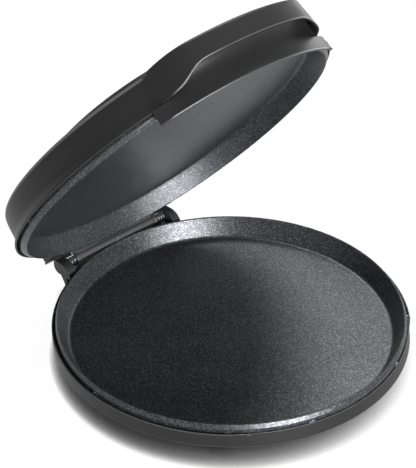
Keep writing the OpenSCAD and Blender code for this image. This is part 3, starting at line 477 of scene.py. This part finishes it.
# From radius and height at an angle from the front to x, y and z.
def aroundCentre(angles, radius, height):
    turn = np.radians(angles)[:, None]
    return np.stack([radius * np.sin(turn), -radius * np.cos(turn), height], -1)


# Points about the base's centre, in millimetres, moved to the frame's metres.
def basePlace(points):
    return np.asarray(points, float) * mm + (0.0, frameY, 0.0)


# The same for points of the shut lid, which are first turned open about the pin.
def lidPlace(points):
    points = np.asarray(points, float)
    dy, dz = points[..., 1] - pinY, points[..., 2] - pinZ
    c, s = math.cos(openAngle), math.sin(openAngle)
    return basePlace(np.stack([points[..., 0], pinY + dy * c + dz * s, pinZ - dy * s + dz * c], -1))


# The eight corners of a box, x changing first, then y, then z.
def boxCorners(low, high):
    isHigh = np.arange(8)[:, None] >> np.arange(3) & 1
    return np.where(isHigh, high, low)


# Its six sides, as numbers of these corners.
boxSides = np.array([
    (0, 2, 3, 1), (4, 5, 7, 6), (0, 1, 5, 4), (2, 6, 7, 3), (0, 4, 6, 2), (1, 3, 7, 5)])


# A mesh over a grid of points: each face joins point (i, j) to (i+1, j), (i+1, j+1) and (i, j+1).
# closeU joins the last row to the first, closeV the last column to the first. tip is a point that
# the last column meets, and ends closes the first and last row with a face each. edge holds each
# point's weight of the painted highlight line. boxes, given by their corners, are added flat.
def gridPiece(name, grid, mat, closeU=False, closeV=False, tip=None, ends=False, edge=None,
        boxes=()):
    n, m = grid.shape[:2]
    points = [grid.reshape(-1, 3)]
    index = np.arange(n * m).reshape(n, m)
    if closeU:
        index = np.vstack([index, index[:1]])
    if closeV:
        index = np.hstack([index, index[:, :1]])
    quads = np.stack([index[:-1, :-1], index[1:, :-1], index[1:, 1:], index[:-1, 1:]], -1)
    faces = quads.reshape(-1, 4).tolist()
    count = n * m
    if tip is not None:
        points.append(np.reshape(tip, (1, 3)))
        rim = index[:, m - 1]
        faces += np.stack([rim[:-1], rim[1:], np.full(len(rim) - 1, count)], -1).tolist()
        count += 1
    if ends:
        faces += [index[0, m - 1 :: -1].tolist(), index[-1, :m].tolist()]
    rounded = len(faces)
    for corners in boxes:
        points.append(corners)
        faces += (boxSides + count).tolist()
        count += len(corners)
    me = bpy.data.meshes.new(name)
    me.from_pydata(np.concatenate(points).tolist(), [], faces)
    me.polygons.foreach_set("use_smooth", np.arange(len(faces)) < rounded)
    me.update()
    if edge is not None:
        weights = np.zeros(count, np.float32)
        weights[: n * m] = edge.reshape(-1)
        me.attributes.new("highlightLine", "FLOAT", "POINT").data.foreach_set("value", weights)
    me.materials.append(mat)
    ob = bpy.data.objects.new(name, me)
    bpy.context.collection.objects.link(ob)
    return ob


# The grid of a piece of the lid, one row for each angle, and its painted highlight line's weights.
# Each row of its sections, or stack of rows, gives radius, height and highlight line weight, and each
# of these is one number or an array that ends in the angles.
def joinRows(angles, rows):
    parts = []
    for row in rows:
        spread = np.broadcast_arrays(*row, angles)[:3]
        parts.append(np.stack(spread, -1).reshape(-1, len(angles), 3))
    radius, height, line = np.concatenate(parts).T
    return lidPlace(aroundCentre(angles, radius, height)), line


hair = 0.01  # too small to see, in millimetres
cornerCut = 0.3  # how far a small rounding cuts in at its middle, as a share of its radius
lowSteps = np.array([0, 22, 45, 68, 90])[:, None]  # degrees round a lower edge
topSteps = np.arange(15, 91, 15)[:, None]  # and from the band's face on to its top
halfway = 45


# Radii, heights and widths of the shut lid in millimetres, and angles from the front in degrees.
lidValues = {
    "lipR": 171.9,  # the lip: its outside and its lower edge
    "lipZ": 50.5,
    "lipRound": 0.4,
    "lipInR": 170.5,
    "lipInBackR": 168.4,  # where the hinge's housing is
    "lipInTopR": 168.7,
    "lipInRise": (3.1, 1.8, 0.3),  # heights of its inside over its lower edge
    "lipInSlant": 0.2,
    "bandTopR": 164.0,  # the flared band that rises from the lip
    "bandTopZ": 83.0,
    "bandRound": 4.0,
    "bandRoundOut": 0.6,  # how far its rounding stands outside bandTopR
    "bandFirstZ": 0.6,  # its first row over lipZ
    "bandRows": 8,
    # its flare: share of its height, share of its way in from lipR to bandTopR
    "bandFlare": ((0, 0), (0.07, 0.04), (0.13, 0.19), (0.23, 0.44), (0.35, 0.62), (0.54, 0.7),
        (0.79, 0.77), (1, 0.9)),
    "browR": 190.5,  # the handle's hood: radius at the front, and up to what angle it holds
    "browFullA": 18.5,
    "browFall": 0.12,  # millimetres lost for each square degree beyond
    "browLean": 0.0005,
    "browLowZ": 62.0,  # its lower edge at the front and at its ends
    "browEndZ": 52.0,
    "browHalfW": 50.0,
    "browFallW": 32.0,
    "browFallPower": 1.6,
    "browStartR": 166.0,
    "browStartFade": 8.0,
    "browReachA": 60.0,
    "browWall": 2.6,
    "browRound": 3.0,
    "hollowR": 177.0,  # the hollow under the hood starts where this is the hood's radius
    "hollowFade": 4.0,
    "hollowEdge": 0.3,
    "recessZ": 74.0,  # its ceiling
    "edgeRound": 0.9,
    "blend": 5.0,  # of band and hood
    "faceRows": 27,
    "faceExtra": (0.885, 0.8905),  # further rows, as shares of the outer face's height
    "bossY": 171.7,  # the hinge's housing: its flat back, half its width and its top
    "bossHalfW": 84.0,
    "bossZ": 76.0,
    "bossRound": 8.0,
    "bossEdge": 2.5,
    "bossBlend": 0.4,
    "bossReachA": 57.3,  # from the back
    "shelfR": 124.0,  # the nearly flat shelf between the band's top and the raised middle
    "shelfZ": 86.0,
    "shelfOutR": 161.0,
    "shelfShares": (0.15, 0.4, 0.7, 1.0),
    "slopeRows": 12,
    "crownR": 110.0,  # the raised middle
    "crownZ": 100.0,
    "crownRise": 3.0,
    "crownDomeR": 115.0,
    "crownRows": 8,
    "lipLine": 0.12,  # weights of the painted highlight lines along edges
    "browLine": 0.9,
    "browLineFront": 0.3,
    "browLineDimA": (10.0, 20.0),  # from the front's weight to the full one
    "browLineEndA": (29.0, 26.0),  # from none to full
    "topLine": 0.5,
    "topLineFade": 4.0,
    "fineFrontA": (28, 34, 0.5),  # closer sections: first angle, end and step, from the front
    "fineBackA": (24.5, 31, 0.25),  # and from the back
    "guardX": (53.2, 63.7),  # a plate behind each spring
    "guardY": (169.1, 171.7),
    "guardZ": (45.9, 54.1),
    "apronX": (64.0, 83.8),  # and the apron beside it
    "apronY": (165.0, 171.5),
    "apronZ": (49.2, 51.0),
}
flareCurve = smoothCurve(lidValues["bandFlare"])


# Radius of the band at height z: the lip's radius less a share of its way in to the top.
def bandRadius(z, v):
    u = (z - v["lipZ"]) / (v["bandTopZ"] - v["bandRound"] - v["lipZ"])
    share = np.interp(u, flareCurve[:, 0], flareCurve[:, 1])
    return v["lipR"] - (v["lipR"] - v["bandTopR"]) * share


# Radius of the hood: full at the front, then less by the square of the angle beyond the full part,
# and leaning in a little as it rises.
def browRadius(a, z, v):
    plan = v["browR"] - v["browFall"] * np.maximum(0, abs(a) - v["browFullA"]) ** 2
    return plan * (1 - v["browLean"] * (z - v["lipZ"]))


# Radius of the hinge's housing at the back: the nearer of a flat back, rounded over the top, and
# two flat sides. It is 0 where there is none.
def bossRadius(a, z, v):
    fromBack = 180 - abs(a)
    b = np.radians(np.minimum(fromBack, v["bossReachA"]))
    over = np.clip((z - v["bossZ"] + v["bossRound"]) / v["bossRound"], 0, 1)
    back = v["bossY"] - v["bossRound"] * (1 - np.sqrt(1 - over ** 2))
    side = v["bossHalfW"] / np.maximum(np.sin(b), 0.001)  # never divided by 0
    r = softMin(back / np.cos(b), side, v["bossEdge"])
    return np.where((fromBack <= v["bossReachA"]) & (z <= v["bossZ"] + hair), r, 0.0)


# Sections of the shell at angles a from the front: from the inside of the lip up the band, round
# the handle's hollow and lower edge where there is one, and over the top to the raised middle.
def lidSections(a, v):
    inFront = abs(a) < v["browReachA"]
    planR = browRadius(a, v["lipZ"], v)

    def shellR(z):
        r, boss = bandRadius(z, v), bossRadius(a, z, v)
        return np.where(boss > 0, softMax(r, boss, v["bossBlend"]), r)

    def outerR(z):
        return softMax(shellR(z), np.where(inFront, browRadius(a, z, v), 0.0), v["blend"])

    # the hood's lower edge falls beyond its half width, and its hollow lies above that edge
    beyond = np.maximum(0, planR * abs(np.sin(np.radians(a))) - v["browHalfW"]) / v["browFallW"]
    fall = np.where(planR > v["bandTopR"], smoothStep(beyond ** v["browFallPower"]), 1.0)
    edgeZ = v["browLowZ"] + (v["browEndZ"] - v["browLowZ"]) * fall
    hollow = smoothStep((planR - v["hollowR"]) / v["hollowFade"])
    hollowZ = edgeZ + (v["recessZ"] - edgeZ) * hollow

    # the lip, from its inside round its lower edge, whose rounding carries a painted highlight line
    boss = bossRadius(a, v["lipZ"], v)
    lowR = np.where(boss > 0, softMax(v["lipR"], boss, hair), v["lipR"])
    slant, corner = v["lipInSlant"], cornerCut * v["lipRound"]
    inR = np.where(lowR < v["lipR"] + slant, v["lipInR"], v["lipInBackR"])
    high, middle, low = (v["lipZ"] + rise for rise in v["lipInRise"])
    rows = [
        (np.minimum(inR, v["lipInTopR"]), high, 0),
        (inR - slant, middle, 0),
        (inR, low, 0),
        (inR + slant, v["lipZ"], 0),
        (lowR - v["lipRound"], v["lipZ"], 0),
        (lowR - corner, v["lipZ"] + corner, v["lipLine"]),
        (lowR, v["lipZ"] + v["lipRound"], v["lipLine"]),
    ]

    # the band below the hood, whose first row keeps the lip's painted highlight line
    z = np.linspace(v["lipZ"] + v["bandFirstZ"], hollowZ, v["bandRows"])
    line = v["lipLine"] * (np.arange(v["bandRows"]) == 0)[:, None]
    rows.append((shellR(z), z, line))

    # the hollow's ceiling, with a doubled row that keeps its corner sharp, and its outer wall
    wallR = np.maximum(outerR(edgeZ) - v["browWall"], shellR(edgeZ))
    wallR = shellR(hollowZ) + (wallR - shellR(hollowZ)) * hollow
    outR = outerR(edgeZ + v["edgeRound"])
    innerR = np.maximum(outR - v["edgeRound"], wallR)
    cut = v["hollowEdge"] * hollow
    rows += [
        (wallR, hollowZ, 0),
        (wallR, hollowZ, 0),
        (wallR, edgeZ + cut, 0),
        (np.minimum(wallR + cut, innerR), edgeZ, 0),
    ]

    # the rounded lower edge, whose painted highlight line is dim at the front and ends before the hood does
    dimmed = v["browLineFront"] + (1 - v["browLineFront"]) * eased(abs(a), v["browLineDimA"])
    line = v["browLine"] * dimmed * eased(abs(a), v["browLineEndA"])
    out, rise = np.sin(np.radians(lowSteps)), 1 - np.cos(np.radians(lowSteps))
    rows.append((
        innerR + (outR - innerR) * out, edgeZ + v["edgeRound"] * rise,
        line * (lowSteps >= halfway)))

    # the outer face, with extra rows where the housing's top ends
    lowZ, roundZ = edgeZ + v["edgeRound"], v["bandTopZ"] - v["bandRound"]
    shares = np.union1d(np.linspace(0, 1, v["faceRows"]), v["faceExtra"])[1:, None]
    z = lowZ + shares * (roundZ - lowZ)
    rows.append((outerR(z), z, 0))

    # the rounding over the top, whose radius and centre go from the band's to the hood's, with a painted highlight
    # line on its half next to the face, fading where the hood starts
    topR = outerR(roundZ)
    isBrow = smoothStep((planR - v["browStartR"]) / v["browStartFade"]) * inFront
    roundR = v["bandRound"] + (v["browRound"] - v["bandRound"]) * isBrow
    bandCentre = v["bandTopR"] - v["bandRound"] + v["bandRoundOut"]
    centre = (topR - roundR) * isBrow + bandCentre * (1 - isBrow)
    r = centre + roundR * np.cos(np.radians(topSteps))
    r = np.where(isBrow > 0.5, r, np.minimum(r, topR))
    line = v["topLine"] * (1 - smoothStep((planR - v["browStartR"]) / v["topLineFade"]) * inFront)
    z = v["bandTopZ"] - roundR * (1 - np.sin(np.radians(topSteps)))
    rows.append((r, z, line * (topSteps <= halfway)))

    # the shelf inwards, the raised middle's slope and its domed top
    r = r[-1] + (v["shelfR"] - r[-1]) * np.array(v["shelfShares"])[:, None]
    drop = (v["shelfZ"] - v["bandTopZ"]) * (r - v["shelfR"]) / (v["shelfOutR"] - v["shelfR"])
    rows.append((r, np.maximum(v["shelfZ"] - drop, v["bandTopZ"]), 0))
    t = np.linspace(0, 1, v["slopeRows"] + 1)[1:, None]
    slopeZ = v["shelfZ"] + (v["crownZ"] - v["shelfZ"]) * smoothStep(t)
    rows.append((v["shelfR"] + (v["crownR"] - v["shelfR"]) * t, slopeZ, 0))
    r = v["crownR"] * np.linspace(1, 0, v["crownRows"] + 1)[1:-1, None]
    rows.append((r, v["crownZ"] + v["crownRise"] * (1 - (r / v["crownDomeR"]) ** 2), 0))
    return joinRows(a, rows)


# The lid's skin: its sections all round, closer where the hood and the housing end, met at the
# crown's middle, with a guard and an apron behind each spring.
def makeLidShell(v, mat):
    fine = np.concatenate([np.arange(*v["fineFrontA"]), 180 - np.arange(*v["fineBackA"])])
    angles = np.unique(np.concatenate([np.arange(-179, 181, 1.0), fine, -fine]).round(3))
    grid, edge = lidSections(angles, v)
    tip = lidPlace([0, 0, v["crownZ"] + v["crownRise"]])
    boxes = []
    for side in (-1, 1):
        for kind in ("guard", "apron"):
            spanX = sorted(side * x for x in v[kind + "X"])
            boxes.append(lidPlace(boxCorners(*zip(spanX, v[kind + "Y"], v[kind + "Z"]))))
    return gridPiece("lidShellSkin", grid, mat, closeU=True, tip=tip, edge=edge, boxes=boxes)


# The handle's inner moulding, in the same terms as the lid.
gripValues = {
    "outR": 174.0,  # the recess's back wall
    "wall": 1.7,
    "halfA": 35.3,
    "endStep": 0.15,
    "sections": 72,
    "fineA": (27, 33, 13),  # closer sections near the ends: first angle, last and number
    "backFoot": 3.0,  # rows on the back: the first over lowZ, the last under the top
    "backHead": 2.0,
    "backTurn": 4.0,
    "backEdge": 0.2,
    "backRows": 8,
    "lowZ": 37.2,  # the lip
    "lowFlare": 1.4,
    "flareH": 14.0,
    "edgeRound": 0.7,
    "topZ": 70.0,  # the recess's ceiling
    "sweep": 16.0,
    "sweepAngles": (80, -1, -8),  # rows on the sweep: first angle, end and step
    "recessGap": 0.8,
    "recessRows": 14,
    "splitZ": 51.7,  # height of its top where the hood ends
    "fit": 2.9,  # from the hood's outside to the grip
    "growR": 0.6,
    "growFade": 3.0,
    "line": 0.9,  # weight of the painted highlight line along the lip, full beside the front and dimmer at it
    "lineFront": 0.3,
    "lineDimA": (6.0, 22.0),
    "lineEndA": (32.5, 30.5),
}


# Radius of the finger recess at height z: flared to its lip, and swept out to its ceiling on a
# circle.
def recessRadius(z, v):
    low = np.maximum(0, v["lowZ"] + v["flareH"] - z) / v["flareH"]
    up = np.clip((z - v["topZ"] + v["sweep"]) / v["sweep"], 0, 1)
    return v["outR"] + v["lowFlare"] * low ** 2 + v["sweep"] * (1 - np.sqrt(1 - up ** 2))


# Sections of the grip at angles a: up its back, over its ceiling, down the recess, round its lip.
# Its height and depth grow with the room that the hood leaves.
def gripSections(a, v, lid):
    room = browRadius(a, v["topZ"], lid) - v["fit"]
    full = smoothStep((room - v["outR"] - v["growR"]) / v["growFade"])
    inR = v["outR"] - v["wall"]
    farR = np.maximum(room, v["outR"])
    topZ = v["splitZ"] + (v["topZ"] - v["splitZ"]) * full
    ceilingZ = topZ + v["wall"] * full
    backFoot, backHead = v["lowZ"] + v["backFoot"], topZ - v["backHead"] * full
    rows = [
        (inR, v["lowZ"] + v["edgeRound"], 0),
        (inR, np.linspace(backFoot, backHead, v["backRows"]), 0),
        (inR + v["backTurn"] * full, ceilingZ, 0),
        (inR + (farR - inR) * full, ceilingZ, 0),
    ]

    # the swept ceiling, then the recess down to the lip
    sweepZ = v["topZ"] - v["sweep"]
    z = sweepZ + v["sweep"] * np.sin(np.radians(np.arange(*v["sweepAngles"])))[:, None]
    rows.append((np.minimum(recessRadius(z, v), farR), np.minimum(z, topZ), 0))
    z = np.linspace(sweepZ - v["recessGap"], v["lowZ"] + 2 * v["edgeRound"], v["recessRows"])
    rows.append((recessRadius(z, v)[:, None], np.minimum(z[:, None], topZ), 0))

    # the rounded lip, whose painted highlight line is dim at the front and ends before the grip does
    dimmed = v["lineFront"] + (1 - v["lineFront"]) * eased(abs(a), v["lineDimA"])
    line = v["line"] * dimmed * eased(abs(a), v["lineEndA"])
    back, drop = 1 - np.cos(np.radians(lowSteps)), 1 - np.sin(np.radians(lowSteps))
    lipR = recessRadius(v["lowZ"], v)
    rows += [
        (lipR - v["edgeRound"] * back, v["lowZ"] + v["edgeRound"] * drop,
            line * (lowSteps < 90)),
        (inR + v["edgeRound"], v["lowZ"], 0),
        (inR + v["backEdge"], v["lowZ"] + v["backEdge"], 0),
    ]
    return joinRows(a, rows)


# The grip's skin: its sections from end to end, closer near the ends, closed by flat end faces.
def makeGrip(v, lid, mat):
    half, inner, fine = v["halfA"], v["halfA"] - v["endStep"], np.linspace(*v["fineA"])
    spread = [np.linspace(-half, half, v["sections"]), [-inner, inner], fine, -fine]
    angles = np.unique(np.concatenate(spread).round(3))
    grid, edge = gripSections(angles, v, lid)
    return gridPiece("gripSkin", grid[::-1], mat, closeV=True, ends=True, edge=edge[::-1])


springValues = {
    "meanR": 3.6,  # from the pin's axis to the wire's
    "wire": 1.7,  # diameter
    "turns": 3,
    "firstX": 54.0,
    "lastX": 63.5,
    "perTurn": 48,
    "sides": 14,
}


# A wire wound on the pin: the path goes round by the angle and along in equal steps, and at each
# point the wire's circle lies across the path. The left coil is mirrored, so its rows run the other
# way to keep its faces outwards.
def makeSpring(name, v, side, mat):
    t = np.linspace(0, 2 * math.pi * v["turns"], round(v["turns"] * v["perTurn"]) + 1)
    x = np.linspace(v["firstX"], v["lastX"], len(t))
    path = np.stack([x, pinY + v["meanR"] * np.sin(t), pinZ - v["meanR"] * np.cos(t)], -1)
    along = np.gradient(path, axis=0)
    along /= np.linalg.norm(along, axis=1, keepdims=True)
    outward = np.stack([0 * x, np.sin(t), -np.cos(t)], -1)
    across = np.cross(along, outward)
    ring = np.arange(v["sides"])[:, None] * 2 * math.pi / v["sides"]
    circle = np.cos(ring) * outward[:, None] + np.sin(ring) * across[:, None]
    grid = path[:, None] + v["wire"] / 2 * circle
    grid[..., 0] *= side
    return gridPiece(name, basePlace(grid[::side]), mat, closeV=True, ends=True)


# Lets a piece ride on its body in place of a CAD node, which is hidden.
def dress(ob, body, node):
    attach(ob, body)
    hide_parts(node)


shell = makeLidShell(lidValues, mouldedSkin)
dress(shell, "lid", "lid_shell")
print("lid shell built:", len(shell.data.polygons), "faces")

grip = makeGrip(gripValues, lidValues, mouldedSkin)
dress(grip, "lid", "handle_grip")
print("grip built:", len(grip.data.polygons), "faces")

for name, side in (("left", -1), ("right", 1)):
    spring = makeSpring(
        "springCoil" + name.capitalize(), springValues, side, finishes["bright_steel"])
    dress(spring, "base", "hinge_spring_" + name)
print("springs built")

slotOf = {part["node"]: part["material_slot"] for part in frame["record"]["subparts"]}
for name, ob in frame["nodes"].items():
    # the lid's plate takes the paler copy of the coat, which paints light on it
    finish = litLidCoat if name == "lid_plate" else finishes[slotOf[name]]
    for slot in ob.material_slots:
        slot.material = finish
print("materials given to", len(frame["nodes"]), "nodes")
